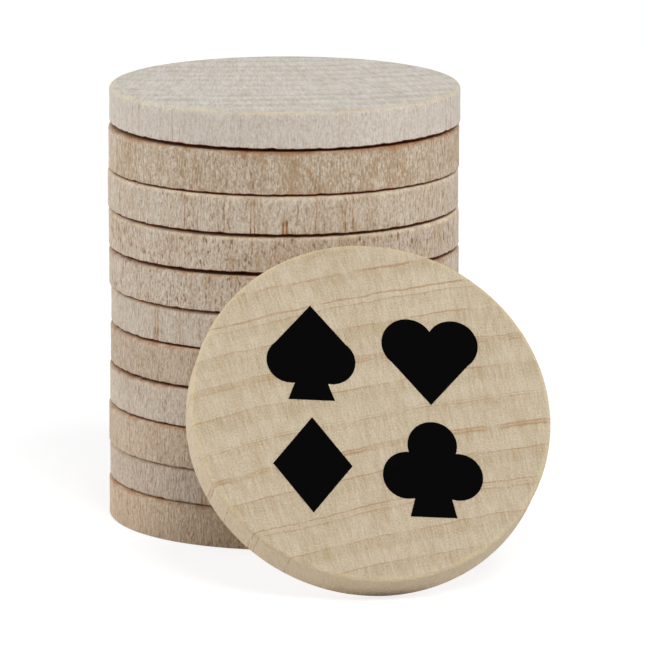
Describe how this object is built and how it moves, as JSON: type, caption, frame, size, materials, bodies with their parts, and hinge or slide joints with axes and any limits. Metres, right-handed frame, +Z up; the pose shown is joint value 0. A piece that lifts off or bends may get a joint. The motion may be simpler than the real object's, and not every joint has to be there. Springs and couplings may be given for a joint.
{
  "type": "game token set",
  "caption": "Stack of loose round wooden game tokens with eased edges, and a token with a printed face that leans against the stack.",
  "frame": {"origin": "on the stack's axis, at the underside of the lowest token, on the surface that the tokens stand on", "axes": "+Z up the stack, -Y towards the foot of the leaning token, +X along the edge that token tips on"},
  "size_m": [0.0381, 0.0581, 0.0436],
  "materials": {
    "wood_pale": "sawn and tumbled, no varnish",
    "wood_tan": "sawn and tumbled, no varnish",
    "wood_rosy": "sawn and tumbled, no varnish",
    "wood_honey": "sawn and tumbled, no varnish",
    "black_ink": "matt printing ink"
  },
  "bodies": {
    "stack_token_01": {"stack_token_01": "wood_tan"},
    "stack_token_02": {"stack_token_02": "wood_rosy"},
    "stack_token_03": {"stack_token_03": "wood_tan"},
    "stack_token_04": {"stack_token_04": "wood_pale"},
    "stack_token_05": {"stack_token_05": "wood_rosy"},
    "stack_token_06": {"stack_token_06": "wood_pale"},
    "stack_token_07": {"stack_token_07": "wood_rosy"},
    "stack_token_08": {"stack_token_08": "wood_rosy"},
    "stack_token_09": {"stack_token_09": "wood_pale"},
    "stack_token_10": {"stack_token_10": "wood_tan"},
    "stack_token_11": {"stack_token_11": "wood_pale"},
    "leaning_token": {"leaning_token": "wood_honey", "printed_design": "black_ink"}
  },
  "joints": [
    {"name": "lift_02", "type": "slide", "parent": "stack_token_01", "child": "stack_token_02", "axis": [0, 0, 1], "range_m": [0, 0.012]},
    {"name": "lift_03", "type": "slide", "parent": "stack_token_02", "child": "stack_token_03", "axis": [0, 0, 1], "range_m": [0, 0.012]},
    {"name": "lift_04", "type": "slide", "parent": "stack_token_03", "child": "stack_token_04", "axis": [0, 0, 1], "range_m": [0, 0.012]},
    {"name": "lift_05", "type": "slide", "parent": "stack_token_04", "child": "stack_token_05", "axis": [0, 0, 1], "range_m": [0, 0.012]},
    {"name": "lift_06", "type": "slide", "parent": "stack_token_05", "child": "stack_token_06", "axis": [0, 0, 1], "range_m": [0, 0.012]},
    {"name": "lift_07", "type": "slide", "parent": "stack_token_06", "child": "stack_token_07", "axis": [0, 0, 1], "range_m": [0, 0.012]},
    {"name": "lift_08", "type": "slide", "parent": "stack_token_07", "child": "stack_token_08", "axis": [0, 0, 1], "range_m": [0, 0.012]},
    {"name": "lift_09", "type": "slide", "parent": "stack_token_08", "child": "stack_token_09", "axis": [0, 0, 1], "range_m": [0, 0.012]},
    {"name": "lift_10", "type": "slide", "parent": "stack_token_09", "child": "stack_token_10", "axis": [0, 0, 1], "range_m": [0, 0.012]},
    {"name": "lift_11", "type": "slide", "parent": "stack_token_10", "child": "stack_token_11", "axis": [0, 0, 1], "range_m": [0, 0.012]},
    {"name": "lean_tilt", "type": "hinge", "parent": "stack_token_01", "child": "leaning_token", "pos_m": [0.003, -0.03738, 0.00015], "axis": [1, 0, 0], "range_deg": [0, 34.5]}
  ]
}
